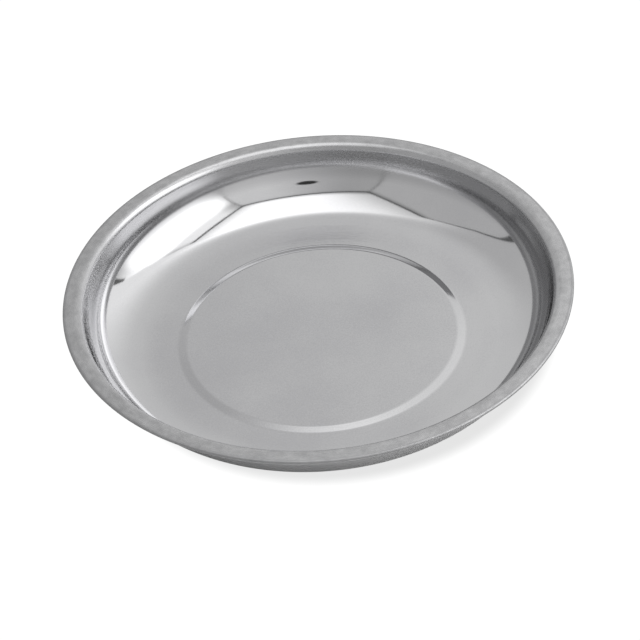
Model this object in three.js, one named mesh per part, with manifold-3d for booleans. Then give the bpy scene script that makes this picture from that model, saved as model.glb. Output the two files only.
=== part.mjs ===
// A round magnetic dish for small parts, 150 mm across.
//
// A polished stainless steel bowl has a hemmed rim and a low raised seat in the middle of its floor.
// The magnetic foot nests under that seat. From the bench upwards the foot is a rubber boot, a dished
// steel plate, a ferrite ring magnet and a foam ring, all held to a stud under the bowl by one nut.
//
// Millimetres, +Z up. The origin is on the bench, on the axis of the dish.

import * as THREE from 'three';
import { mergeVertices } from 'three/addons/utils/BufferGeometryUtils.js';
import Module from 'manifold-3d';

// ---- Driving dimensions ----

const GAP = 0.3; // left between pieces that touch
const AROUND = 48; // facets around the large round pieces
const AROUND_SMALL = 24; // facets around the fasteners

// The bowl, a 0.4 mm pressing
const SHEET = 0.4;
const RIM_RADIUS = 75;
const BOWL_DEPTH = 19.25; // lowest ring of the floor to the top of the rim
const TROUGH_RADIUS = 46.8; // the lowest ring of the floor, which is a shallow trough round the seat
const TROUGH_INNER_CURVE = 138;
const TROUGH_OUTER_CURVE = 75;
const SIDE_CENTRE_RADIUS = 51.4;
const SIDE_RADIUS = 17.6; // curve between the floor and the side
const SIDE_SLOPE = 82; // degrees, the side above that curve
const SEAT_FOOT_RADIUS = 43.4; // where the step round the seat meets the floor
const SEAT_RISE = 0.7; // lowest ring of the floor to the seat
const SEAT_STEP_SLOPE = 14; // degrees
const SEAT_BEND_RADIUS = 4; // both bends of the step
const RIM_TURN_RADIUS = 2.6; // outward turn at the top of the side
const RIM_END_SLOPE = 4.5; // degrees, the fall of the rim where it meets the hem
const HEM_RADIUS = 0.6;
const HEM_RETURN = 3.2; // length of the sheet folded back under the rim

// The rubber boot
const BOOT_RADIUS = 39.5;
const BOOT_HEIGHT = 10.7;
const BOOT_DRAFT = 0.4; // the foot of its wall is narrower than the top by this
const BOOT_EDGE_RADIUS = 1.6;
const BOOT_WALL = 3.2;
const BOOT_BOTTOM = 1.6;
const BOOT_LIP = 1;
const BOOT_LIP_RADIUS = 31;
const BOOT_HOLE_RADIUS = 15;

// The dished steel plate that carries the magnet
const PLATE_THICKNESS = 1.2;
const PLATE_RADIUS = 36;
const PLATE_BOLT_RADIUS = 2.8;
const CROWN_RADIUS = 12.2; // flat middle of the dished part
const CROWN_BEND = 1.4;
const CROWN_UNDERSIDE = 8.4;
const PLATE_WALL_LEAN = 14; // degrees from upright

// The ferrite ring magnet and the foam over it
const MAGNET_RADIUS = 36;
const MAGNET_BORE_RADIUS = 16;
const MAGNET_THICKNESS = 6;
const MAGNET_CHAMFER = 0.5;
const FOAM_THICKNESS = 1;

// M5 fasteners
const STUD_RADIUS = 2.35;
const STUD_FLANGE_RADIUS = 6;
const STUD_FLANGE_THICKNESS = 0.8;
const STUD_END = 0.6;
const STUD_CHAMFER = 0.4;
const WASHER_BORE_RADIUS = 2.65;
const FLAT_WASHER_RADIUS = 5;
const FLAT_WASHER_THICKNESS = 1;
const SPRING_WASHER_RADIUS = 4.6;
const SPRING_WASHER_THICKNESS = 1.2;
const SPRING_WASHER_GAP = 24; // degrees
const NUT_ACROSS_FLATS = 8;
const NUT_HEIGHT = 4;
const NUT_CHAMFER = 0.45;

// ---- Heights that follow from them ----

const PLATE_UNDERSIDE = BOOT_BOTTOM + GAP;
const MAGNET_UNDERSIDE = PLATE_UNDERSIDE + PLATE_THICKNESS + GAP;
const MAGNET_TOP = MAGNET_UNDERSIDE + MAGNET_THICKNESS;
const SEAT_UNDERSIDE = BOOT_HEIGHT + GAP;
const SEAT_TOP = SEAT_UNDERSIDE + SHEET;
const FLOOR_TOP = SEAT_TOP - SEAT_RISE;
const RIM_TOP = FLOOR_TOP + BOWL_DEPTH;
const FLAT_WASHER_UNDERSIDE = CROWN_UNDERSIDE - GAP - FLAT_WASHER_THICKNESS;
const SPRING_WASHER_UNDERSIDE = FLAT_WASHER_UNDERSIDE - GAP - SPRING_WASHER_THICKNESS;
const NUT_UNDERSIDE = SPRING_WASHER_UNDERSIDE - GAP - NUT_HEIGHT;

// ---- Materials ----

function metal(color, roughness) {
  return new THREE.MeshStandardMaterial({ color, roughness, metalness: 1 });
}

function dull(color, roughness) {
  return new THREE.MeshStandardMaterial({ color, roughness, metalness: 0 });
}

// ---- Outline helpers: x is the radius, y is the height ----

function point(radius, height) {
  return new THREE.Vector2(radius, height);
}

function arc(centre, radius, fromDegrees, toDegrees, steps) {
  return Array.from({ length: steps + 1 }, (_, i) => {
    const angle = THREE.MathUtils.degToRad(fromDegrees + ((toDegrees - fromDegrees) * i) / steps);
    return point(centre.x + radius * Math.cos(angle), centre.y + radius * Math.sin(angle));
  });
}

// The other face of a sheet: it lies to the right of the face that is given.
function otherFace(face, thickness) {
  return face.map((here, i) => {
    const before = face[Math.max(i - 1, 0)];
    const after = face[Math.min(i + 1, face.length - 1)];
    const along = after.clone().sub(before).normalize();
    return point(here.x + along.y * thickness, here.y - along.x * thickness);
  });
}

function sheetOutline(face, thickness) {
  return [...face, ...otherFace(face, thickness).reverse()];
}

// Turns an outline about the Z axis. It closes on itself, or starts and ends on the axis.
function turned(outline, around) {
  const points = THREE.ShapeUtils.area(outline) < 0 ? [...outline].reverse() : [...outline];
  const touchesAxis = outline.some((corner) => corner.x === 0);
  if (!touchesAxis) {
    points.push(points[0].clone());
  } else {
    while (points[0].x !== 0 || points.at(-1).x !== 0) {
      points.push(points.shift());
    }
  }
  return new THREE.LatheGeometry(points, around).rotateX(Math.PI / 2);
}

function ringOutline(innerRadius, outerRadius, bottom, top, chamfer = 0) {
  if (chamfer === 0) {
    return [
      point(innerRadius, bottom),
      point(outerRadius, bottom),
      point(outerRadius, top),
      point(innerRadius, top),
    ];
  }
  return [
    point(innerRadius + chamfer, bottom),
    point(outerRadius - chamfer, bottom),
    point(outerRadius, bottom + chamfer),
    point(outerRadius, top - chamfer),
    point(outerRadius - chamfer, top),
    point(innerRadius + chamfer, top),
    point(innerRadius, top - chamfer),
    point(innerRadius, bottom + chamfer),
  ];
}

// ---- Solid helpers ----

const wasm = await Module();
wasm.setup();

function solidOf(geometry) {
  const bare = geometry.clone();
  bare.deleteAttribute('normal');
  bare.deleteAttribute('uv');
  const merged = mergeVertices(bare);
  return new wasm.Manifold(
    new wasm.Mesh({
      numProp: 3,
      vertProperties: new Float32Array(merged.attributes.position.array),
      triVerts: new Uint32Array(merged.index.array),
    }),
  );
}

function geometryOf(solid) {
  const mesh = solid.getMesh();
  const geometry = new THREE.BufferGeometry();
  geometry.setAttribute('position', new THREE.BufferAttribute(mesh.vertProperties, 3));
  geometry.setIndex(new THREE.BufferAttribute(mesh.triVerts, 1));
  geometry.computeVertexNormals();
  return geometry;
}

function uprightCylinder(radius, height, sides) {
  return new THREE.CylinderGeometry(radius, radius, height, sides).rotateX(Math.PI / 2);
}

// ---- The pieces ----

// The floor sinks from the foot of the seat's step to its lowest ring by this angle.
function troughStart() {
  return Math.asin((TROUGH_RADIUS - SEAT_FOOT_RADIUS) / TROUGH_INNER_CURVE);
}

// The raised seat falls to the floor in a step: a bend, a short slope and a bend back.
function seatStep() {
  const slope = THREE.MathUtils.degToRad(SEAT_STEP_SLOPE);
  const tilt = troughStart();
  const footHeight = FLOOR_TOP + TROUGH_INNER_CURVE * (1 - Math.cos(tilt));
  const lowerCentre = point(
    SEAT_FOOT_RADIUS + SEAT_BEND_RADIUS * Math.sin(tilt),
    footHeight + SEAT_BEND_RADIUS * Math.cos(tilt),
  );
  const upperHeight = SEAT_TOP - SEAT_BEND_RADIUS;
  const slopeFall = upperHeight - lowerCentre.y + 2 * SEAT_BEND_RADIUS * Math.cos(slope);
  const slopeWidth = slopeFall / Math.tan(slope);
  const bendsWidth = 2 * SEAT_BEND_RADIUS * Math.sin(slope);
  const upperCentre = point(lowerCentre.x - bendsWidth - slopeWidth, upperHeight);
  const tiltDegrees = THREE.MathUtils.radToDeg(tilt);
  return [
    ...arc(upperCentre, SEAT_BEND_RADIUS, 90, 90 - SEAT_STEP_SLOPE, 2),
    ...arc(lowerCentre, SEAT_BEND_RADIUS, 270 - SEAT_STEP_SLOPE, 270 - tiltDegrees, 2),
  ];
}

// The trough sinks to its lowest ring and rises again until it runs smoothly into the side.
function troughAndSide() {
  const innerCentre = point(TROUGH_RADIUS, FLOOR_TOP + TROUGH_INNER_CURVE);
  const outerCentre = point(TROUGH_RADIUS, FLOOR_TOP + TROUGH_OUTER_CURVE);
  const centresApart = TROUGH_OUTER_CURVE - SIDE_RADIUS;
  const rise = Math.asin((SIDE_CENTRE_RADIUS - TROUGH_RADIUS) / centresApart);
  const sideCentre = point(SIDE_CENTRE_RADIUS, outerCentre.y - centresApart * Math.cos(rise));
  const startDegrees = THREE.MathUtils.radToDeg(troughStart());
  const riseDegrees = THREE.MathUtils.radToDeg(rise);
  return [
    ...arc(innerCentre, TROUGH_INNER_CURVE, 270 - startDegrees, 270, 1).slice(1),
    ...arc(outerCentre, TROUGH_OUTER_CURVE, 270, 270 + riseDegrees, 2).slice(1),
    ...arc(sideCentre, SIDE_RADIUS, riseDegrees - 90, SIDE_SLOPE - 90, 10).slice(1),
  ];
}

// The rim turns outward from a straight, nearly upright band at the top of the side, falls a little
// towards its edge, and is folded back under.
function rimFace(sideEnd) {
  const sideSlope = THREE.MathUtils.degToRad(SIDE_SLOPE);
  const bandTop = RIM_TOP - RIM_TURN_RADIUS * (1 - Math.cos(sideSlope));
  const bandTopRadius = sideEnd.x + (bandTop - sideEnd.y) / Math.tan(sideSlope);
  const turnCentreRadius = bandTopRadius + RIM_TURN_RADIUS * Math.sin(sideSlope);
  const turnCentre = point(turnCentreRadius, RIM_TOP - RIM_TURN_RADIUS);
  const hemCentreRadius = RIM_RADIUS - HEM_RADIUS;
  const endSlope = THREE.MathUtils.degToRad(RIM_END_SLOPE);
  const crownWidth = hemCentreRadius + HEM_RADIUS * Math.sin(endSlope) - turnCentre.x;
  const crownRadius = crownWidth / Math.sin(endSlope);
  const crownCentre = point(turnCentre.x, RIM_TOP - crownRadius);
  const crownEnd = crownCentre.y + crownRadius * Math.cos(endSlope);
  const hemCentre = point(hemCentreRadius, crownEnd - HEM_RADIUS * Math.cos(endSlope));
  return [
    ...arc(turnCentre, RIM_TURN_RADIUS, 90 + SIDE_SLOPE, 90, 6),
    ...arc(crownCentre, crownRadius, 90, 90 - RIM_END_SLOPE, 2).slice(1),
    ...arc(hemCentre, HEM_RADIUS, 90 - RIM_END_SLOPE, 0, 3).slice(1),
    ...arc(hemCentre, HEM_RADIUS, 0, -90, 3).slice(1),
    point(hemCentre.x - HEM_RETURN, hemCentre.y - HEM_RADIUS),
  ];
}

function dish() {
  const bowlFace = [point(0, SEAT_TOP), ...seatStep(), ...troughAndSide()];
  const upperFace = [...bowlFace, ...rimFace(bowlFace.at(-1))];
  return turned(sheetOutline(upperFace, SHEET), AROUND);
}

// A thin flange is welded to the underside of the seat, and the threaded shank points down.
function weldStud() {
  const top = SEAT_UNDERSIDE - GAP;
  const flangeUnderside = top - STUD_FLANGE_THICKNESS;
  return turned(
    [
      point(0, STUD_END),
      point(STUD_RADIUS - STUD_CHAMFER, STUD_END),
      point(STUD_RADIUS, STUD_END + STUD_CHAMFER),
      point(STUD_RADIUS, flangeUnderside),
      point(STUD_FLANGE_RADIUS, flangeUnderside),
      point(STUD_FLANGE_RADIUS, top),
      point(0, top),
    ],
    AROUND_SMALL,
  );
}

// The foam fills the room that the boot's lip leaves between the magnet and the dish.
function foamRing() {
  const bottom = MAGNET_TOP + GAP;
  const outline = ringOutline(
    MAGNET_BORE_RADIUS + GAP,
    BOOT_LIP_RADIUS - GAP,
    bottom,
    bottom + FOAM_THICKNESS,
  );
  return turned(outline, AROUND);
}

function ringMagnet() {
  const outline = ringOutline(
    MAGNET_BORE_RADIUS,
    MAGNET_RADIUS,
    MAGNET_UNDERSIDE,
    MAGNET_TOP,
    MAGNET_CHAMFER,
  );
  return turned(outline, AROUND);
}

// The plate's flange lies under the magnet, and its middle is pressed up into the magnet's bore, so
// that the nut stays clear of the bench.
function magnetPlate() {
  const crownTop = CROWN_UNDERSIDE + PLATE_THICKNESS;
  const flangeTop = PLATE_UNDERSIDE + PLATE_THICKNESS;
  const wallTurn = 90 - PLATE_WALL_LEAN;
  const lean = THREE.MathUtils.degToRad(PLATE_WALL_LEAN);
  const crownBendOuter = CROWN_BEND + PLATE_THICKNESS;
  const crownCentre = point(CROWN_RADIUS - CROWN_BEND, crownTop - crownBendOuter);
  const wallTop = arc(crownCentre, crownBendOuter, 90, 90 - wallTurn, 4);
  const flangeBend = PLATE_THICKNESS / 2;
  const bendFoot = flangeTop + flangeBend * (1 - Math.sin(lean));
  const wallRun = (wallTop.at(-1).y - bendFoot) * Math.tan(lean);
  const flangeCentre = point(wallTop.at(-1).x + wallRun + flangeBend * Math.cos(lean), flangeTop + flangeBend);
  const upperFace = [
    point(PLATE_BOLT_RADIUS, crownTop),
    ...wallTop,
    ...arc(flangeCentre, flangeBend, 270 - wallTurn, 270, 3),
    point(PLATE_RADIUS, flangeTop),
  ];
  return turned(sheetOutline(upperFace, PLATE_THICKNESS), AROUND);
}

// The boot is a ring of C section: it wraps the magnet and the plate, and its lip folds in over the
// magnet, where the dish traps it.
function rubberBoot() {
  const pocketRadius = BOOT_RADIUS - BOOT_WALL;
  const footRadius = BOOT_RADIUS - BOOT_DRAFT;
  const edgeCentre = point(footRadius - BOOT_EDGE_RADIUS, BOOT_EDGE_RADIUS);
  const holeEdge = BOOT_BOTTOM / 2;
  const holeCentre = point(BOOT_HOLE_RADIUS + holeEdge, holeEdge);
  const lipEdge = BOOT_LIP / 2;
  const lipCentre = point(BOOT_LIP_RADIUS + lipEdge, BOOT_HEIGHT - lipEdge);
  const outline = [
    ...arc(holeCentre, holeEdge, 90, 270, 4),
    ...arc(edgeCentre, BOOT_EDGE_RADIUS, -90, 0, 4),
    point(BOOT_RADIUS, BOOT_HEIGHT - lipEdge),
    point(BOOT_RADIUS - lipEdge, BOOT_HEIGHT),
    ...arc(lipCentre, lipEdge, 90, 270, 4),
    point(pocketRadius, BOOT_HEIGHT - BOOT_LIP),
    point(pocketRadius, BOOT_BOTTOM),
  ];
  return turned(outline, AROUND);
}

function flatWasher() {
  const top = FLAT_WASHER_UNDERSIDE + FLAT_WASHER_THICKNESS;
  return turned(ringOutline(WASHER_BORE_RADIUS, FLAT_WASHER_RADIUS, FLAT_WASHER_UNDERSIDE, top), AROUND_SMALL);
}

// A split ring, drawn as it lies when the nut has flattened it.
function springWasher() {
  const halfGap = THREE.MathUtils.degToRad(SPRING_WASHER_GAP / 2);
  const start = halfGap;
  const end = 2 * Math.PI - halfGap;
  const outline = new THREE.Shape();
  outline.absarc(0, 0, SPRING_WASHER_RADIUS, start, end, false);
  outline.absarc(0, 0, WASHER_BORE_RADIUS, end, start, true);
  const ring = new THREE.ExtrudeGeometry(outline, {
    depth: SPRING_WASHER_THICKNESS,
    bevelEnabled: false,
    curveSegments: AROUND_SMALL / 2,
  });
  return ring.translate(0, 0, SPRING_WASHER_UNDERSIDE);
}

// A hexagon whose corners are turned off at both ends.
function hexNut() {
  const cornerRadius = NUT_ACROSS_FLATS / Math.sqrt(3);
  const faceRadius = NUT_ACROSS_FLATS / 2;
  const half = NUT_HEIGHT / 2;
  const corners = turned(
    [
      point(0, -half),
      point(faceRadius, -half),
      point(cornerRadius, NUT_CHAMFER - half),
      point(cornerRadius, half - NUT_CHAMFER),
      point(faceRadius, half),
      point(0, half),
    ],
    AROUND_SMALL,
  );
  const hexagon = solidOf(uprightCylinder(cornerRadius, NUT_HEIGHT, 6));
  const bore = solidOf(uprightCylinder(WASHER_BORE_RADIUS, 2 * NUT_HEIGHT, AROUND_SMALL));
  const nut = hexagon.intersect(solidOf(corners)).subtract(bore);
  return geometryOf(nut).translate(0, 0, NUT_UNDERSIDE + half);
}

// ---- Assembly ----

const STAINLESS = metal(0xb9babc, 0.2);
const ZINC = metal(0xa9adb3, 0.4);
const FERRITE = dull(0x2e2e30, 0.6);
const RUBBER = dull(0x17181a, 0.75);
const FOAM = dull(0x3a3b3d, 0.95);

const group = new THREE.Group();

function add(name, geometry, material) {
  const mesh = new THREE.Mesh(geometry, material.clone());
  mesh.name = name;
  group.add(mesh);
}

add('dish', dish(), STAINLESS);
add('weld_stud', weldStud(), ZINC);
add('foam_ring', foamRing(), FOAM);
add('ring_magnet', ringMagnet(), FERRITE);
add('magnet_plate', magnetPlate(), ZINC);
add('rubber_boot', rubberBoot(), RUBBER);
add('flat_washer', flatWasher(), ZINC);
add('spring_washer', springWasher(), ZINC);
add('hex_nut', hexNut(), ZINC);

export default group;
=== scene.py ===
import math

import bpy
from mathutils import Matrix, Vector


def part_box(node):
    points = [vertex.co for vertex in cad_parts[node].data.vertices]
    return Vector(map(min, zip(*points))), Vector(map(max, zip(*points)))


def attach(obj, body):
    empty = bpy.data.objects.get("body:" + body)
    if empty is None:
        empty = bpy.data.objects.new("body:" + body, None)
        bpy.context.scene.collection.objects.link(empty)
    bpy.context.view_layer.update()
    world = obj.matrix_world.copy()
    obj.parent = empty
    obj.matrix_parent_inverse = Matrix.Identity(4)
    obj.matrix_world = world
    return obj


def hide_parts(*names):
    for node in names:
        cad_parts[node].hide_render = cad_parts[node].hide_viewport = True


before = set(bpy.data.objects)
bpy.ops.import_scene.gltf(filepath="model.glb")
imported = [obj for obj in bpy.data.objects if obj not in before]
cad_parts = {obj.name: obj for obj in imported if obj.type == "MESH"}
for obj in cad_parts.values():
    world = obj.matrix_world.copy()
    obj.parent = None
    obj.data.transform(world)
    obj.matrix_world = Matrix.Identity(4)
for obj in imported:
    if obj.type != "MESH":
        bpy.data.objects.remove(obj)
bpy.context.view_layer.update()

MM = 0.001
SHARP_ANGLE = 40

# ---- The dish, in millimetres, as pressed ----

SHEET = 0.4
SIDE_CENTRE_RADIUS = 51.4
SIDE_RADIUS = 17.6
SIDE_SLOPE = 82
TROUGH_RADIUS = 46.8
TROUGH_INNER_CURVE = 138
TROUGH_OUTER_CURVE = 75
SEAT_RISE = 0.7
SEAT_FOOT_RADIUS = 43.4
SEAT_STEP_SLOPE = 14
SEAT_BEND_RADIUS = 4
BOWL_DEPTH = 19.25
RIM_TURN_RADIUS = 2.6
RIM_END_SLOPE = 4.5
HEM_RADIUS = 0.6
HEM_RETURN = 3.2
RIM_EDGE_DROP = 0.55

# ---- The foot, in millimetres ----

BOOT_DRAFT = 0.4
BOOT_EDGE_RADIUS = 1.6
BOOT_TOP_EDGE = 0.5
BOOT_WALL = 3.2
BOOT_BOTTOM = 1.6
BOOT_LIP = 1.0
BOOT_LIP_RADIUS = 31
BOOT_HOLE_RADIUS = 15
BOOT_GROOVES = (20, 26, 32)
BOOT_GROOVE_DEPTH = 0.4

PLATE_THICKNESS = 1.2
PLATE_BOLT_RADIUS = 2.8
CROWN_RADIUS = 12.2
CROWN_BEND = 1.4
PLATE_WALL_LEAN = 14

MAGNET_BORE_RADIUS = 16
MAGNET_CHAMFER = 0.5
FOAM_BORE_RADIUS = 16.3
FOAM_EDGE = 0.2

STUD_RADIUS = 2.35
STUD_FLANGE_THICKNESS = 0.8
STUD_CHAMFER = 0.4
THREAD_PITCH = 0.8
THREAD_DEPTH = 0.42
THREAD_CREST = 0.2
WASHER_BORE_RADIUS = 2.65
WASHER_EDGE = 0.12
SPRING_GAP = 24
SPRING_SLANT = 9
NUT_ACROSS_FLATS = 8
NUT_CHAMFER = 0.45
NUT_COUNTERSINK = 0.35

# ---- Heights and radii that the frame gives, in millimetres ----


def box_mm(node):
    low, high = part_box(node)
    return Vector(low) / MM, Vector(high) / MM


DISH_HIGH = box_mm("dish")[1]
RIM_RADIUS = DISH_HIGH.x
RIM_TOP = DISH_HIGH.z
FLOOR_TOP = RIM_TOP - BOWL_DEPTH
SEAT_TOP = FLOOR_TOP + SEAT_RISE
RIM_EDGE = RIM_TOP - RIM_EDGE_DROP

# ---- Steel: where its finish changes, and the darker and lighter tone of each zone, with painted shade on the wall and the edge and a painted highlight on the lip ----

# Radii, in metres, over which one finish gives way to the next.
FINISH_STARTS = {
    "side": (0.0480, 0.0560),
    "wall": (0.0658, 0.0676),
    "turn": (0.0678, 0.0694),
    "rim": (0.0690, 0.0712),
    "edge": (0.0738, 0.0744),
}
# The painted highlight on the lower half of the lip starts and is complete this far under the top of the
# rim, in millimetres.
LIP_START_DROP = 0.65
LIP_FULL_DROP = 1.05
FLOOR_TONES = ((0.47, 0.47, 0.48), (0.54, 0.54, 0.545))
SIDE_TONES = ((0.525, 0.525, 0.535), (0.575, 0.575, 0.58))
# Painted shade: the wall's tones are set darker than the floor's, to darken what it reflects.
SHADED_WALL_TONES = ((0.43, 0.43, 0.44), (0.46, 0.46, 0.465))
RIM_TONES = ((0.36, 0.36, 0.365), (0.49, 0.49, 0.495))
# Painted shade on the top of the rim's edge, and a painted highlight on the lip under it.
EDGE_SHADE_TONES = ((0.30, 0.30, 0.305), (0.37, 0.37, 0.375))
LIP_HIGHLIGHT_TONES = ((0.70, 0.70, 0.705), (0.76, 0.76, 0.765))
OUTSIDE_TONES = ((0.53, 0.53, 0.54), (0.58, 0.58, 0.585))

# ---- Camera: distance in metres, lens and sensor in millimetres, angles in degrees ----

CAMERA_DISTANCE = 0.750
CAMERA_ELEVATION = 39.29
CAMERA_PAN = 0.007
CAMERA_TILT = -0.741
CAMERA_ROLL = -5.52
CAMERA_LENS = 143.86
CAMERA_SENSOR = 36

# ---- Studio, in metres. The camera stands on the side of negative Y ----

TENT_HEIGHT = 0.99
TENT_FRONT_LEFT = (-0.476, -0.602)
TENT_FRONT_RIGHT = (0.504, -0.543)
TENT_FRONT_MIDDLE = -0.575
TENT_BACK_LEFT = (-0.476, 0.155)
TENT_BACK_RIGHT = (0.504, 0.187)
# Below the bend the back panel leans out to its foot.
TENT_BEND = 0.45
TENT_FOOT_LEFT = (-0.476, 0.235)
TENT_FOOT_RIGHT = (0.504, 0.275)
ROOF_SEAM_WIDTH = 0.036
FRONT_SEAM_WIDTH = 0.012
BACK_SEAM_WIDTH = 0.016
CLIP_WIDTH = 0.05
# The clips lie between these fractions of the way up to the bend.
CLIP_REACH = (0.09, 0.5)
LENS_RADIUS = 0.056
LENS_HEIGHT = 0.432
LENS_STAND_OFF = 0.02
GROUND = -0.0002
PAPER_HALF = 3.0
# A painted shadow: the paper is drawn a little darker in a soft disc under the dish; the lights don't cast
# it.
SHADE_CENTRE = (0.004, 0.0146, 0)
SHADE_INNER_RADIUS = 0.0635
SHADE_OUTER_RADIUS = 0.0700

# ---- Table, in millimetres, because it is turned like the dish ----

TABLE_RADIUS = 850
TABLE_HOLE = 35
TABLE_THICKNESS = 3
TABLE_EDGE = 1


# ---- Outlines: lists of (radius, height) ----


def arc(centre, radius, start, end, steps):
    """Points on a circle between two angles in degrees, measured from outward toward up."""
    points = []
    for i in range(steps + 1):
        angle = math.radians(start + (end - start) * i / steps)
        points.append((centre[0] + radius * math.cos(angle), centre[1] + radius * math.sin(angle)))
    return points


def trough_start():
    """The floor sinks from the foot of the seat's step to its lowest ring by this angle."""
    return math.asin((TROUGH_RADIUS - SEAT_FOOT_RADIUS) / TROUGH_INNER_CURVE)


def seat_step():
    """The edge of the raised seat: a bend, a short slope and a bend back."""
    slope = math.radians(SEAT_STEP_SLOPE)
    tilt = trough_start()
    foot_height = FLOOR_TOP + TROUGH_INNER_CURVE * (1 - math.cos(tilt))
    lower_centre = (
        SEAT_FOOT_RADIUS + SEAT_BEND_RADIUS * math.sin(tilt),
        foot_height + SEAT_BEND_RADIUS * math.cos(tilt),
    )
    upper_height = SEAT_TOP - SEAT_BEND_RADIUS
    slope_fall = upper_height - lower_centre[1] + 2 * SEAT_BEND_RADIUS * math.cos(slope)
    slope_width = slope_fall / math.tan(slope)
    bends_width = 2 * SEAT_BEND_RADIUS * math.sin(slope)
    upper_centre = (lower_centre[0] - bends_width - slope_width, upper_height)
    upper = arc(upper_centre, SEAT_BEND_RADIUS, 90, 90 - SEAT_STEP_SLOPE, steps=8)
    lower_end = 270 - math.degrees(tilt)
    lower = arc(lower_centre, SEAT_BEND_RADIUS, 270 - SEAT_STEP_SLOPE, lower_end, steps=8)
    return upper + lower


def trough_and_side():
    """A shallow trough round the seat, which runs smoothly into the curve of the side."""
    inner_centre = (TROUGH_RADIUS, FLOOR_TOP + TROUGH_INNER_CURVE)
    outer_centre = (TROUGH_RADIUS, FLOOR_TOP + TROUGH_OUTER_CURVE)
    centres_apart = TROUGH_OUTER_CURVE - SIDE_RADIUS
    rise = math.asin((SIDE_CENTRE_RADIUS - TROUGH_RADIUS) / centres_apart)
    side_centre = (SIDE_CENTRE_RADIUS, outer_centre[1] - centres_apart * math.cos(rise))
    start = math.degrees(trough_start())
    end = math.degrees(rise)
    sinking = arc(inner_centre, TROUGH_INNER_CURVE, 270 - start, 270, steps=8)[1:]
    rising = arc(outer_centre, TROUGH_OUTER_CURVE, 270, 270 + end, steps=12)[1:]
    side = arc(side_centre, SIDE_RADIUS, end - 90, SIDE_SLOPE - 90, steps=64)[1:]
    return sinking + rising + side


def ring_section(inner, outer, bottom, top, edge, steps=5):
    """The section of a ring with rounded edges. With one step the edges are chamfers."""
    lower_inner = arc((inner + edge, bottom + edge), edge, 180, 270, steps)
    lower_outer = arc((outer - edge, bottom + edge), edge, 270, 360, steps)
    upper_outer = arc((outer - edge, top - edge), edge, 0, 90, steps)
    upper_inner = arc((inner + edge, top - edge), edge, 90, 180, steps)
    return lower_inner + lower_outer + upper_outer + upper_inner


def other_face(face, thickness):
    """The other face of a sheet, to the right of the one given."""
    points = []
    for i, (radius, height) in enumerate(face):
        before = Vector(face[max(i - 1, 0)])
        after = Vector(face[min(i + 1, len(face) - 1)])
        along = (after - before).normalized()
        points.append((radius + along.y * thickness, height - along.x * thickness))
    return points


# ---- Meshes ----


def flat_shaded(name, vertices, faces, materials):
    mesh = bpy.data.meshes.new(name)
    mesh.from_pydata(vertices, [], faces)
    for material in materials:
        mesh.materials.append(material)
    piece = bpy.data.objects.new(name, mesh)
    bpy.context.scene.collection.objects.link(piece)
    return piece


def smooth_shaded(name, vertices, faces, materials):
    """A piece whose edges look sharp only where they turn more than SHARP_ANGLE."""
    piece = flat_shaded(name, vertices, faces, materials)
    piece.data.shade_smooth()
    piece.data.set_sharp_from_angle(angle=math.radians(SHARP_ANGLE))
    piece.data.update()
    return piece


def turned(name, outline, materials, slots=None, around=256, reach=None):
    """Turns an outline about Z. It starts and ends on the axis, or is closed.

    slots gives the material slot of each stretch of the outline. reach gives a point's own radius
    from its radius, height and angle."""
    closed = outline[0][0] > 0
    rings = []
    vertices = []
    for radius, height in outline:
        if radius == 0:
            rings.append([len(vertices)])
            vertices.append((0, 0, height * MM))
            continue
        rings.append(list(range(len(vertices), len(vertices) + around)))
        for i in range(around):
            angle = 2 * math.pi * i / around
            out = reach(radius, height, angle) if reach else radius
            vertices.append((out * MM * math.cos(angle), out * MM * math.sin(angle), height * MM))
    faces = []
    face_slots = []
    for k in range(len(rings) if closed else len(rings) - 1):
        lower = rings[k]
        upper = rings[(k + 1) % len(rings)]
        for i in range(around):
            j = (i + 1) % around
            if len(lower) == 1:
                face = (lower[0], upper[j], upper[i])
            elif len(upper) == 1:
                face = (lower[i], lower[j], upper[0])
            else:
                face = (lower[i], lower[j], upper[j], upper[i])
            faces.append(face)
            face_slots.append(slots[k] if slots else 0)
    piece = smooth_shaded(name, vertices, faces, materials)
    piece.data.polygons.foreach_set("material_index", face_slots)
    return piece


def fit(piece, node):
    """Puts a piece in the place of its CAD node."""
    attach(piece, "root")
    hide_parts(node)


# ---- Node helpers ----


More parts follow.
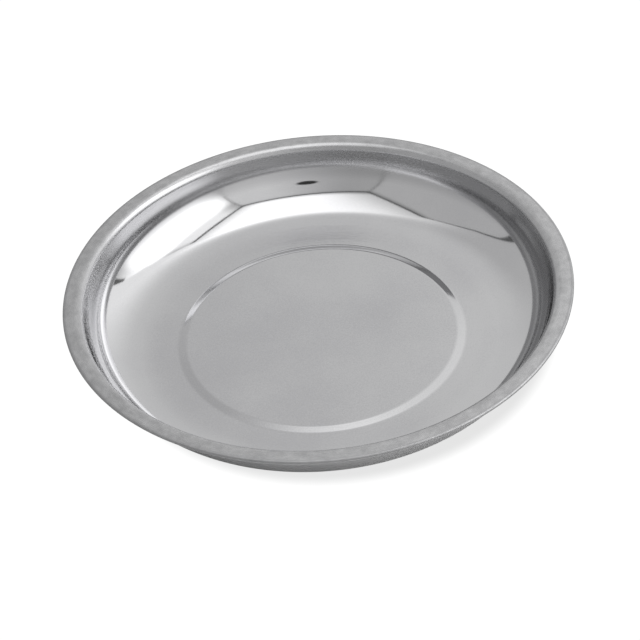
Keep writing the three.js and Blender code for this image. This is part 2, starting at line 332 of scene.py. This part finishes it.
class Nodes:
    """Short calls for building one material's nodes."""

    def __init__(self, name):
        self.material = bpy.data.materials.new(name)
        self.material.use_nodes = True
        self.tree = self.material.node_tree
        self.shader = self.tree.nodes["Principled BSDF"]
        self.output = self.tree.nodes["Material Output"]

    def add(self, kind, **values):
        node = self.tree.nodes.new(kind)
        for key, value in values.items():
            setattr(node, key, value)
        return node

    def link(self, source, target):
        self.tree.links.new(source, target)

    def feed(self, socket, value):
        """Gives a socket a fixed value or another node's output."""
        if isinstance(value, (int, float, tuple)):
            socket.default_value = value
        else:
            self.link(value, socket)

    def set(self, socket, value):
        self.feed(self.shader.inputs[socket], value)

    def math(self, operation, first, second):
        node = self.add("ShaderNodeMath", operation=operation)
        self.feed(node.inputs[0], first)
        self.feed(node.inputs[1], second)
        return node.outputs[0]

    def vector_math(self, operation, first, second=(0, 0, 0), output="Vector"):
        node = self.add("ShaderNodeVectorMath", operation=operation)
        self.feed(node.inputs[0], first)
        self.feed(node.inputs[1], second)
        return node.outputs[output]

    def position(self):
        return self.add("ShaderNodeTexCoord").outputs["Object"]

    def place(self, axis):
        """Position along one axis, in metres."""
        parts = self.add("ShaderNodeSeparateXYZ")
        self.link(self.position(), parts.inputs[0])
        return parts.outputs[axis]

    def from_axis(self, centre=(0, 0, 0)):
        """The level vector from the dish's axis, or from another upright line."""
        shifted = self.vector_math("SUBTRACT", self.position(), centre)
        return self.vector_math("MULTIPLY", shifted, (1, 1, 0))

    def radius(self, centre=(0, 0, 0)):
        return self.vector_math("LENGTH", self.from_axis(centre), output="Value")

    def round_the_axis(self, along, across):
        """A vector for marks that run round the axis.

        Noise read with it has about along marks per radian round the dish, and about across marks
        per metre outward and up."""
        outward = self.math("ADD", self.radius(), self.place("Z"))
        lift = self.add("ShaderNodeCombineXYZ")
        self.link(self.math("MULTIPLY", outward, across), lift.inputs["Z"])
        unit = self.vector_math("NORMALIZE", self.from_axis())
        turn = self.vector_math("MULTIPLY", unit, (along, along, along))
        return self.vector_math("ADD", turn, lift.outputs[0])

    def noise(self, vector, scale, detail=3, roughness=0.5):
        node = self.add("ShaderNodeTexNoise")
        self.link(vector, node.inputs["Vector"])
        node.inputs["Scale"].default_value = scale
        node.inputs["Detail"].default_value = detail
        node.inputs["Roughness"].default_value = roughness
        return node.outputs["Fac"]

    def spread(self, value, low, high, start=0.0, end=1.0):
        """Maps a value from start..end to low..high."""
        node = self.add("ShaderNodeMapRange")
        self.link(value, node.inputs["Value"])
        node.inputs["From Min"].default_value = start
        node.inputs["From Max"].default_value = end
        node.inputs["To Min"].default_value = low
        node.inputs["To Max"].default_value = high
        return node.outputs["Result"]

    def smooth(self, value, low, high, start, end):
        """Like spread, but eases in and out."""
        result = self.spread(value, low, high, start, end)
        result.node.interpolation_type = "SMOOTHSTEP"
        return result

    def mix_value(self, factor, first, second):
        node = self.add("ShaderNodeMix", data_type="FLOAT")
        self.link(factor, node.inputs[0])
        self.link(first, node.inputs[2])
        self.link(second, node.inputs[3])
        return node.outputs[0]

    def mix_colour(self, factor, first, second):
        node = self.add("ShaderNodeMix", data_type="RGBA")
        self.link(factor, node.inputs[0])
        self.link(first, node.inputs[6])
        self.link(second, node.inputs[7])
        return node.outputs[2]

    def ramp(self, value, stops):
        node = self.add("ShaderNodeValToRGB")
        self.link(value, node.inputs["Fac"])
        elements = node.color_ramp.elements
        while len(elements) < len(stops):
            elements.new(0.5)
        for element, (place, colour) in zip(elements, stops):
            element.position = place
            element.color = (*colour, 1)
        return node.outputs["Color"]

    def tones(self, value, dark_and_light, start=0.3, end=0.7):
        """Goes from a dark to a light colour as the value goes from start to end."""
        dark, light = dark_and_light
        return self.ramp(value, [(start, dark), (end, light)])

    def bump(self, height, distance, normal=None):
        """Raises the surface by up to distance, in metres, on top of an earlier bump."""
        node = self.add("ShaderNodeBump")
        node.inputs["Distance"].default_value = distance
        self.link(height, node.inputs["Height"])
        if normal is not None:
            self.link(normal, node.inputs["Normal"])
        return node.outputs["Normal"]


class Glow(Nodes):
    """Nodes for a surface that gives off light."""

    def __init__(self, name):
        super().__init__(name)
        self.tree.nodes.remove(self.shader)
        self.shader = self.add("ShaderNodeEmission")
        self.link(self.shader.outputs[0], self.output.inputs["Surface"])

    def along(self, axis, low, high, start, end):
        """Goes smoothly from low to high between two places along an axis."""
        return self.smooth(self.place(axis), low, high, start, end)

    def open_from_below(self):
        """Lets the dish be seen through the surface from underneath."""
        mix = self.add("ShaderNodeMixShader")
        self.link(self.add("ShaderNodeNewGeometry").outputs["Backfacing"], mix.inputs["Fac"])
        self.link(self.shader.outputs[0], mix.inputs[1])
        self.link(self.add("ShaderNodeBsdfTransparent").outputs[0], mix.inputs[2])
        self.link(mix.outputs[0], self.output.inputs["Surface"])


# ---- Materials ----


def bright_colour(nodes, on, clouds):
    """Speckled on the floor and the side, darker on the wall as painted shade, and mottled on the rim, whose
    edge is darkened with painted shade on top and lightened with a painted highlight on the lip below.
    """
    grain = nodes.noise(nodes.position(), 3200, 2, 0.6)
    speckle = nodes.math("ADD", nodes.math("MULTIPLY", clouds, 0.5), nodes.math("MULTIPLY", grain, 0.5))
    mottle = nodes.noise(nodes.round_the_axis(22, 420), 1, 4, 0.65)
    lip_full = (RIM_TOP - LIP_FULL_DROP) * MM
    lip_start = (RIM_TOP - LIP_START_DROP) * MM
    on_highlit_lip = nodes.smooth(nodes.place("Z"), 1, 0, lip_full, lip_start)
    floor = nodes.tones(speckle, FLOOR_TONES, 0.38, 0.62)
    side = nodes.tones(speckle, SIDE_TONES, 0.38, 0.62)
    bowl = nodes.mix_colour(on["side"], floor, side)
    # Painted shade: the wall is given darker tones.
    bowl = nodes.mix_colour(on["wall"], bowl, nodes.tones(clouds, SHADED_WALL_TONES))
    bowl_and_rim = nodes.mix_colour(on["rim"], bowl, nodes.tones(mottle, RIM_TONES))
    # Painted shade darkens the top of the edge, and a painted highlight lightens the lip below it, by height
    # alone.
    edge = nodes.mix_colour(on_highlit_lip, nodes.tones(mottle, EDGE_SHADE_TONES), nodes.tones(mottle, LIP_HIGHLIGHT_TONES))
    return nodes.mix_colour(on["edge"], bowl_and_rim, edge)


def bright_roughness(nodes, on, clouds, brushing):
    """Smooth in the bowl, a little duller on the wall, and rough where the rim is brushed."""
    polished = nodes.spread(clouds, 0.065, 0.085, 0.3, 0.7)
    wall = nodes.spread(clouds, 0.12, 0.15, 0.3, 0.7)
    bowl = nodes.mix_value(on["wall"], polished, wall)
    brushed = nodes.spread(brushing, 0.20, 0.34, 0.3, 0.7)
    rim = nodes.math("ADD", brushed, nodes.math("MULTIPLY", on["edge"], 0.22))
    return nodes.mix_value(on["turn"], bowl, rim)


def bright_relief(nodes, on, brushing):
    """Fine rings from spinning on the floor, and brush marks on the rim."""
    spinning = nodes.noise(nodes.round_the_axis(4, 2400), 1, 4, 0.6)
    on_floor = nodes.math("SUBTRACT", 1.0, on["side"])
    rings = nodes.bump(nodes.math("MULTIPLY", spinning, on_floor), 0.000006)
    return nodes.bump(nodes.math("MULTIPLY", brushing, on["rim"]), 0.000014, rings)


def bright_steel():
    """The inside of the bowl, nearly a mirror, and the rim, brushed round the dish."""
    nodes = Nodes("bright_steel")
    radius = nodes.radius()
    on = {zone: nodes.smooth(radius, 0, 1, start, end) for zone, (start, end) in FINISH_STARTS.items()}
    clouds = nodes.noise(nodes.position(), 34, 3, 0.5)
    brushing = nodes.noise(nodes.round_the_axis(9, 5200), 1, 5, 0.65)
    nodes.set("Base Color", bright_colour(nodes, on, clouds))
    nodes.set("Metallic", 1.0)
    nodes.set("Roughness", bright_roughness(nodes, on, clouds, brushing))
    nodes.set("Normal", bright_relief(nodes, on, brushing))
    return nodes.material


def satin_steel():
    """The outside of the bowl and the fold under the rim."""
    nodes = Nodes("satin_steel")
    lines = nodes.noise(nodes.round_the_axis(5, 1900), 1, 2, 0.5)
    clouds = nodes.noise(nodes.position(), 40, 3, 0.5)
    nodes.set("Base Color", nodes.tones(clouds, OUTSIDE_TONES))
    nodes.set("Metallic", 1.0)
    nodes.set("Roughness", nodes.spread(lines, 0.2, 0.3, 0.3, 0.7))
    nodes.set("Normal", nodes.bump(lines, 0.000003))
    return nodes.material


def zinc(name):
    """Zinc plating: faintly blue, with soft cloudy crystals."""
    nodes = Nodes(name)
    crystals = nodes.noise(nodes.position(), 900, 4, 0.6)
    haze = nodes.noise(nodes.position(), 120, 3, 0.5)
    grain = nodes.noise(nodes.position(), 5000, 2, 0.5)
    cloud = nodes.math("ADD", nodes.math("MULTIPLY", crystals, 0.4), nodes.math("MULTIPLY", haze, 0.6))
    dull_to_bright = [(0.38, (0.44, 0.46, 0.49)), (0.5, (0.56, 0.58, 0.61)), (0.62, (0.66, 0.68, 0.70))]
    nodes.set("Base Color", nodes.ramp(cloud, dull_to_bright))
    nodes.set("Metallic", 1.0)
    nodes.set("Roughness", nodes.spread(crystals, 0.26, 0.46, 0.3, 0.7))
    nodes.set("Normal", nodes.bump(nodes.math("ADD", grain, crystals), 0.000012))
    return nodes.material


def black_rubber():
    """Moulded rubber: matt, finely grained and a little dusty."""
    nodes = Nodes("black_rubber")
    grain = nodes.noise(nodes.position(), 2600, 3, 0.6)
    dust = nodes.noise(nodes.position(), 160, 4, 0.6)
    black_and_dusty = ((0.016, 0.016, 0.018), (0.038, 0.037, 0.036))
    nodes.set("Base Color", nodes.tones(dust, black_and_dusty, 0.4, 0.75))
    nodes.set("Roughness", nodes.spread(grain, 0.55, 0.78, 0.3, 0.7))
    nodes.set("Normal", nodes.bump(nodes.math("ADD", grain, dust), 0.00003))
    return nodes.material


def ferrite():
    """Pressed and sintered ceramic: dark grey, gritty, with small pits."""
    nodes = Nodes("ferrite")
    grit = nodes.noise(nodes.position(), 1800, 4, 0.7)
    patches = nodes.noise(nodes.position(), 90, 3, 0.5)
    pits = nodes.smooth(nodes.noise(nodes.position(), 700, 2, 0.5), 0, 1, 0.30, 0.40)
    nodes.set("Base Color", nodes.tones(patches, ((0.036, 0.036, 0.040), (0.062, 0.061, 0.062))))
    nodes.set("Roughness", nodes.spread(grit, 0.42, 0.68, 0.3, 0.7))
    nodes.set("Normal", nodes.bump(nodes.math("ADD", grit, pits), 0.00004))
    return nodes.material


def foam():
    """Closed-cell foam: the cut cells show as small dimples, and painted shade darkens their hollows."""
    nodes = Nodes("foam")
    cells = nodes.add("ShaderNodeTexVoronoi")
    nodes.link(nodes.position(), cells.inputs["Vector"])
    cells.inputs["Scale"].default_value = 2400
    depth = cells.outputs["Distance"]
    # Painted shade: the hollows of the cells are coloured darker than their ridges.
    shaded_hollow_and_ridge = ((0.028, 0.028, 0.030), (0.070, 0.070, 0.074))
    nodes.set("Base Color", nodes.tones(depth, shaded_hollow_and_ridge, 0.1, 0.6))
    nodes.set("Roughness", nodes.spread(depth, 0.85, 1.0))
    nodes.set("Normal", nodes.bump(depth, 0.00008))
    return nodes.material


# ---- Pieces ----


def rim_face(side_end):
    """The upper face from the end of the side: a straight stretch, the turn, the rim and its fold."""
    side_slope = math.radians(SIDE_SLOPE)
    band_top = RIM_TOP - RIM_TURN_RADIUS * (1 - math.cos(side_slope))
    band_top_radius = side_end[0] + (band_top - side_end[1]) / math.tan(side_slope)
    turn_centre = (band_top_radius + RIM_TURN_RADIUS * math.sin(side_slope), RIM_TOP - RIM_TURN_RADIUS)
    hem_radius = RIM_RADIUS - HEM_RADIUS
    end_slope = math.radians(RIM_END_SLOPE)
    crown_width = hem_radius + HEM_RADIUS * math.sin(end_slope) - turn_centre[0]
    crown_radius = crown_width / math.sin(end_slope)
    crown_centre = (turn_centre[0], RIM_TOP - crown_radius)
    crown_end = crown_centre[1] + crown_radius * math.cos(end_slope)
    hem_centre = (hem_radius, crown_end - HEM_RADIUS * math.cos(end_slope))
    turn = arc(turn_centre, RIM_TURN_RADIUS, 90 + SIDE_SLOPE, 90, steps=20)
    crown = arc(crown_centre, crown_radius, 90, 90 - RIM_END_SLOPE, steps=28)[1:]
    edge = arc(hem_centre, HEM_RADIUS, 90 - RIM_END_SLOPE, -90, steps=28)[1:]
    fold = [(hem_centre[0] - HEM_RETURN, hem_centre[1] - HEM_RADIUS)]
    return turn + crown + edge + fold


def make_dish():
    floor_and_side = [(0, SEAT_TOP)] + seat_step() + trough_and_side()
    upper = floor_and_side + rim_face(floor_and_side[-1])
    lower = other_face(upper, SHEET)
    # The outline starts on the axis underneath, runs out to the fold and back in over the top.
    outline = lower + list(reversed(upper))
    slots = [1] * (len(lower) + 1) + [0] * (len(upper) - 1)
    dish = turned("dish_shell", outline, [bright_steel(), satin_steel()], slots)
    fit(dish, "dish")


def make_boot():
    """A rubber ring of C section, with shallow grooves in the face it stands on."""
    outer = box_mm("rubber_boot")[1].x
    top = box_mm("rubber_boot")[1].z
    pocket = outer - BOOT_WALL
    hole_centre = (BOOT_HOLE_RADIUS + BOOT_BOTTOM / 2, BOOT_BOTTOM / 2)
    edge_centre = (outer - BOOT_DRAFT - BOOT_EDGE_RADIUS, BOOT_EDGE_RADIUS)
    top_centre = (outer - BOOT_TOP_EDGE, top - BOOT_TOP_EDGE)
    lip_centre = (BOOT_LIP_RADIUS + BOOT_LIP / 2, top - BOOT_LIP / 2)
    outline = arc(hole_centre, BOOT_BOTTOM / 2, 90, 270, steps=12)
    for radius in BOOT_GROOVES:
        outline += arc((radius, 0), BOOT_GROOVE_DEPTH, 180, 0, steps=8)
    outline += arc(edge_centre, BOOT_EDGE_RADIUS, -90, 0, steps=12)
    outline += arc(top_centre, BOOT_TOP_EDGE, 0, 90, steps=6)
    outline += arc(lip_centre, BOOT_LIP / 2, 90, 270, steps=10)
    outline += [(pocket, top - BOOT_LIP), (pocket, BOOT_BOTTOM)]
    fit(turned("boot_rubber", outline, [black_rubber()], around=192), "rubber_boot")


def make_plate():
    """The dished plate under the magnet. Its middle is pressed up into the magnet's bore."""
    low, high = box_mm("magnet_plate")
    flange_top = low.z + PLATE_THICKNESS
    turn = 90 - PLATE_WALL_LEAN
    lean = math.radians(PLATE_WALL_LEAN)
    crown_bend = CROWN_BEND + PLATE_THICKNESS
    crown_centre = (CROWN_RADIUS - CROWN_BEND, high.z - crown_bend)
    crown = arc(crown_centre, crown_bend, 90, 90 - turn, steps=16)
    foot_bend = PLATE_THICKNESS / 2
    wall_fall = crown[-1][1] - flange_top - foot_bend * (1 - math.sin(lean))
    foot_radius = crown[-1][0] + wall_fall * math.tan(lean) + foot_bend * math.cos(lean)
    foot = arc((foot_radius, flange_top + foot_bend), foot_bend, 270 - turn, 270, steps=10)
    upper = [(PLATE_BOLT_RADIUS, high.z)] + crown + foot + [(high.x, flange_top)]
    outline = other_face(upper, PLATE_THICKNESS) + list(reversed(upper))
    fit(turned("plate_steel", outline, [zinc("plate_zinc")], around=192), "magnet_plate")


def make_magnet():
    low, high = box_mm("ring_magnet")
    section = ring_section(MAGNET_BORE_RADIUS, high.x, low.z, high.z, MAGNET_CHAMFER, steps=1)
    fit(turned("magnet_ring", section, [ferrite()], around=192), "ring_magnet")


def make_foam():
    low, high = box_mm("foam_ring")
    section = ring_section(FOAM_BORE_RADIUS, high.x, low.z, high.z, FOAM_EDGE)
    fit(turned("foam_pad", section, [foam()], around=192), "foam_ring")


def make_stud():
    """A threaded shank that hangs from a thin round flange."""
    low, high = box_mm("weld_stud")
    underside = high.z - STUD_FLANGE_THICKNESS
    steps = 160
    shank = [(STUD_RADIUS, low.z + (underside - low.z) * i / steps) for i in range(steps + 1)]
    flange = [(high.x, underside), (high.x, high.z)]
    outline = [(0, low.z)] + shank + flange + [(0, high.z)]

    def thread(radius, height, angle):
        if radius > STUD_RADIUS:
            return radius
        turn = (height / THREAD_PITCH - angle / (2 * math.pi)) % 1
        ridge = min(1, abs(2 * turn - 1) / (1 - THREAD_CREST))
        end_chamfer = STUD_RADIUS - STUD_CHAMFER - THREAD_DEPTH / 2 + height - low.z
        return min(STUD_RADIUS - THREAD_DEPTH * (1 - ridge), end_chamfer)

    stud = turned("stud_steel", outline, [zinc("stud_zinc")], around=48, reach=thread)
    fit(stud, "weld_stud")


def make_flat_washer():
    low, high = box_mm("flat_washer")
    section = ring_section(WASHER_BORE_RADIUS, high.x, low.z, high.z, WASHER_EDGE)
    washer = turned("washer_steel", section, [zinc("washer_zinc")], around=96)
    fit(washer, "flat_washer")


def make_spring_washer():
    """A ring that is cut through at a slant."""
    low, high = box_mm("spring_washer")
    section = ring_section(WASHER_BORE_RADIUS, high.y, low.z, high.z, WASHER_EDGE, steps=3)
    middle = (low.z + high.z) / 2
    steps = 96
    size = len(section)
    vertices = []
    for i in range(steps + 1):
        turn = (SPRING_GAP + SPRING_SLANT) / 2 + (360 - SPRING_GAP - SPRING_SLANT) * i / steps
        for radius, height in section:
            angle = math.radians(turn + SPRING_SLANT * (height - middle) / (high.z - low.z))
            vertices.append((radius * MM * math.cos(angle), radius * MM * math.sin(angle), height * MM))
    faces = []
    for i in range(steps):
        for k in range(size):
            after = (k + 1) % size
            here = i * size
            there = here + size
            faces.append((here + k, there + k, there + after, here + after))
    faces.append(tuple(range(size)))
    faces.append(tuple(reversed(range(steps * size, (steps + 1) * size))))
    washer = smooth_shaded("spring_steel", vertices, faces, [zinc("spring_zinc")])
    fit(washer, "spring_washer")


def make_nut():
    """A hexagon with chamfered corners and a countersunk bore."""
    low, high = box_mm("hex_nut")
    flat = NUT_ACROSS_FLATS / 2
    corner = NUT_ACROSS_FLATS / math.sqrt(3)
    mouth = WASHER_BORE_RADIUS + NUT_COUNTERSINK
    steps = 10
    cone = [(flat + (corner - flat) * i / steps, NUT_CHAMFER * i / steps) for i in range(steps + 1)]
    outline = [(WASHER_BORE_RADIUS, low.z + NUT_COUNTERSINK), (mouth, low.z)]
    outline += [(radius, low.z + rise) for radius, rise in cone]
    outline += [(radius, high.z - rise) for radius, rise in reversed(cone)]
    outline += [(mouth, high.z), (WASHER_BORE_RADIUS, high.z - NUT_COUNTERSINK)]

    def hexagon(radius, height, angle):
        from_flat = (angle + math.radians(30)) % math.radians(60) - math.radians(30)
        return min(radius, flat / math.cos(from_flat))

    nut = turned("nut_steel", outline, [zinc("nut_zinc")], around=96, reach=hexagon)
    fit(nut, "hex_nut")


# ---- Studio ----


def panel(name, corners, material):
    """One flat face of the studio."""
    piece = flat_shaded(name, corners, [tuple(range(len(corners)))], [material])
    return piece


def light_left():
    """Even, and dimmer under the roof."""
    glow = Glow("light_left")
    top_shade = glow.along("Z", 1.0, 0.6, 0.82, TENT_HEIGHT)
    glow.set("Strength", glow.math("MULTIPLY", top_shade, 0.66))
    return glow.material


def light_right():
    """The main lamp shines through it about halfway up. Its front and back edges are dimmer."""
    glow = Glow("light_right")
    rise = glow.along("Z", 0.0, 1.9, 0.02, 0.38)
    lamp = glow.math("MULTIPLY", rise, glow.along("Z", 1.0, 0.0, 0.48, 0.74))
    front_shade = glow.along("Y", 0.4, 1.0, TENT_FRONT_MIDDLE, -0.27)
    shade = glow.math("MULTIPLY", front_shade, glow.along("Y", 1.0, 0.55, 0.10, 0.19))
    glow.set("Strength", glow.math("MULTIPLY", shade, glow.math("ADD", lamp, 1.5)))
    return glow.material


def light_front():
    """Brighter to the right, and dimmer under the roof."""
    glow = Glow("light_front")
    across = glow.along("X", 0.56, 0.97, -0.30, 0.30)
    top_shade = glow.along("Z", 1.0, 0.8, 0.82, TENT_HEIGHT)
    glow.set("Strength", glow.math("MULTIPLY", across, top_shade))
    return glow.material


def light_back():
    """Brighter to the right in two steps, with a bright middle that grows toward the roof."""
    glow = Glow("light_back")
    first_step = glow.along("X", 0.67, 0.84, -0.20, 0.0)
    across = glow.math("ADD", first_step, glow.along("X", 0.0, 0.49, -0.01, 0.30))
    rise = glow.along("Z", 0.0, 1.0, 0.33, 0.88)
    left_rise = glow.along("X", 0.3, 1.0, -0.40, -0.05)
    middle = glow.math("MULTIPLY", left_rise, glow.along("X", 1.0, 0.1, 0.15, 0.40))
    glow.set("Strength", glow.math("ADD", across, glow.math("MULTIPLY", rise, middle)))
    return glow.material


def light_top():
    """Brighter to the right, and dimmer along the front and at the right edge."""
    glow = Glow("light_top")
    across = glow.along("X", 0.90, 2.0, -0.48, 0.04)
    front_shade = glow.along("Y", 0.4, 1.0, TENT_FRONT_MIDDLE, -0.43)
    shade = glow.math("MULTIPLY", front_shade, glow.along("X", 1.0, 0.62, 0.30, 0.50))
    glow.set("Strength", glow.math("MULTIPLY", across, shade))
    return glow.material


def dark_cloth():
    """The seams and clips of the tent, which are nearly black."""
    glow = Glow("dark_cloth")
    weave = glow.noise(glow.position(), 60)
    glow.set("Strength", glow.spread(weave, 0.10, 0.16))
    return glow.material


def bar(name, start, end, width, material, end_width=None):
    """A square bar between two places, which may taper."""
    along = (Vector(end) - Vector(start)).normalized()
    side = along.orthogonal().normalized() / 2
    up = along.cross(side)
    ring = [side + up, up - side, -side - up, side - up]
    widths = (width, width if end_width is None else end_width)
    corners = [Vector(place) + offset * size for place, size in zip((start, end), widths) for offset in ring]
    faces = [(0, 1, 2, 3), (7, 6, 5, 4)]
    faces += [(i, i + 4, (i + 1) % 4 + 4, (i + 1) % 4) for i in range(4)]
    piece = flat_shaded(name, corners, faces, [material])
    piece.visible_camera = False


def make_tent():
    """A light tent: soft panels on four sides and above, which the camera doesn't see."""
    plan = (TENT_FRONT_LEFT, TENT_FRONT_RIGHT, TENT_BACK_RIGHT, TENT_BACK_LEFT)
    roof = [(*corner, TENT_HEIGHT) for corner in plan]
    front_left, front_right, back_right, back_left = roof
    front_foot_left = (*TENT_FRONT_LEFT, 0)
    front_foot_right = (*TENT_FRONT_RIGHT, 0)
    bend_left = (*TENT_BACK_LEFT, TENT_BEND)
    bend_right = (*TENT_BACK_RIGHT, TENT_BEND)
    foot_left = (*TENT_FOOT_LEFT, 0)
    foot_right = (*TENT_FOOT_RIGHT, 0)
    back = light_back()
    panels = {
        "left": ([front_foot_left, foot_left, bend_left, back_left, front_left], light_left()),
        "right": ([front_foot_right, foot_right, bend_right, back_right, front_right], light_right()),
        "front": ([front_foot_left, front_foot_right, front_right, front_left], light_front()),
        "back_foot": ([foot_left, foot_right, bend_right, bend_left], back),
        "back": ([bend_left, bend_right, back_right, back_left], back),
        "top": (roof, light_top()),
    }
    for name, (corners, material) in panels.items():
        panel("tent_" + name, corners, material).visible_camera = False
    cloth = dark_cloth()
    bar("seam_front", front_left, front_right, ROOF_SEAM_WIDTH, cloth)
    bar("seam_left", front_left, back_left, ROOF_SEAM_WIDTH, cloth)
    bar("seam_right", front_right, back_right, ROOF_SEAM_WIDTH, cloth)
    bar("seam_front_left", front_foot_left, front_left, FRONT_SEAM_WIDTH, cloth)
    bar("seam_front_right", front_foot_right, front_right, FRONT_SEAM_WIDTH, cloth)
    bar("seam_back_left", bend_left, back_left, BACK_SEAM_WIDTH, cloth)
    bar("seam_foot_left", foot_left, bend_left, BACK_SEAM_WIDTH, cloth)
    clip_left = [Vector(foot_left).lerp(Vector(bend_left), part) for part in CLIP_REACH]
    clip_right = [Vector(foot_right).lerp(Vector(bend_right), part) for part in CLIP_REACH]
    bar("clip_left", *clip_left, CLIP_WIDTH, cloth, BACK_SEAM_WIDTH)
    bar("clip_right", *clip_right, CLIP_WIDTH, cloth, BACK_SEAM_WIDTH)


def make_lens():
    """The front of the camera's lens, which the dish reflects."""
    around = 48
    front = TENT_FRONT_MIDDLE + LENS_STAND_OFF
    corners = []
    for i in range(around):
        angle = 2 * math.pi * i / around
        corners.append((LENS_RADIUS * math.cos(angle), front, LENS_HEIGHT + LENS_RADIUS * math.sin(angle)))
    glow = Glow("lens_black")
    glow.set("Strength", 0.03)
    lens = panel("lens", corners, glow.material)
    lens.visible_camera = False


def make_table():
    """The surface that the steel reflects. A hole under the foot leaves the underside in view."""
    nodes = Nodes("table_cloth")
    fibres = nodes.noise(nodes.position(), 300, 3, 0.5)
    nodes.set("Base Color", nodes.tones(fibres, ((0.53, 0.53, 0.53), (0.57, 0.57, 0.57))))
    nodes.set("Roughness", 0.9)
    top = GROUND / MM
    section = ring_section(TABLE_HOLE, TABLE_RADIUS, top - TABLE_THICKNESS, top, TABLE_EDGE, steps=1)
    table = turned("table", section, [nodes.material], around=64)
    table.visible_camera = False
    table.visible_diffuse = False
    table.visible_shadow = False


def make_paper():
    """The white ground that the camera sees, with a painted shadow that makes it a little darker under the
    dish.
    """
    glow = Glow("white_paper")
    fibres = glow.noise(glow.position(), 300, 3, 0.5)
    # Painted shadow: the paper's glow is turned down in a soft disc round SHADE_CENTRE.
    from_shade = glow.radius(SHADE_CENTRE)
    shade = glow.smooth(from_shade, 0.78, 1.05, SHADE_INNER_RADIUS, SHADE_OUTER_RADIUS)
    glow.set("Strength", glow.math("MULTIPLY", shade, glow.spread(fibres, 0.99, 1.01)))
    glow.open_from_below()
    corners = [(x * PAPER_HALF, y * PAPER_HALF, GROUND) for x, y in ((-1, -1), (1, -1), (1, 1), (-1, 1))]
    paper = panel("paper", corners, glow.material)
    paper.visible_diffuse = False
    paper.visible_glossy = False
    paper.visible_shadow = False


def make_world():
    """A white surround, which lights what the tent leaves open."""
    world = bpy.data.worlds.new("studio")
    world.use_nodes = True
    world.node_tree.nodes["Background"].inputs["Color"].default_value = (1, 1, 1, 1)
    bpy.context.scene.world = world


def make_camera():
    """Stands in front of the dish, looks down at its rim and is turned a little on its own axes."""
    data = bpy.data.cameras.new("camera")
    data.lens = CAMERA_LENS
    data.sensor_width = CAMERA_SENSOR
    data.clip_start = 0.01
    camera = bpy.data.objects.new("camera", data)
    bpy.context.scene.collection.objects.link(camera)
    elevation = math.radians(CAMERA_ELEVATION)
    target = Vector((0, 0, RIM_EDGE * MM))
    toward = Vector((0, -math.cos(elevation), math.sin(elevation)))
    place = Matrix.Translation(target + toward * CAMERA_DISTANCE)
    look = Matrix.Rotation(math.radians(90) - elevation, 4, "X")
    aim = (
        Matrix.Rotation(math.radians(CAMERA_PAN), 4, "Y")
        @ Matrix.Rotation(math.radians(CAMERA_TILT), 4, "X")
        @ Matrix.Rotation(math.radians(CAMERA_ROLL), 4, "Z")
    )
    camera.matrix_world = place @ look @ aim
    bpy.context.scene.camera = camera


make_camera()
make_dish()
make_boot()
make_plate()
make_magnet()
make_foam()
make_stud()
make_flat_washer()
make_spring_washer()
make_nut()
make_tent()
make_lens()
make_table()
make_paper()
make_world()
bpy.context.scene.view_settings.view_transform = "Standard"
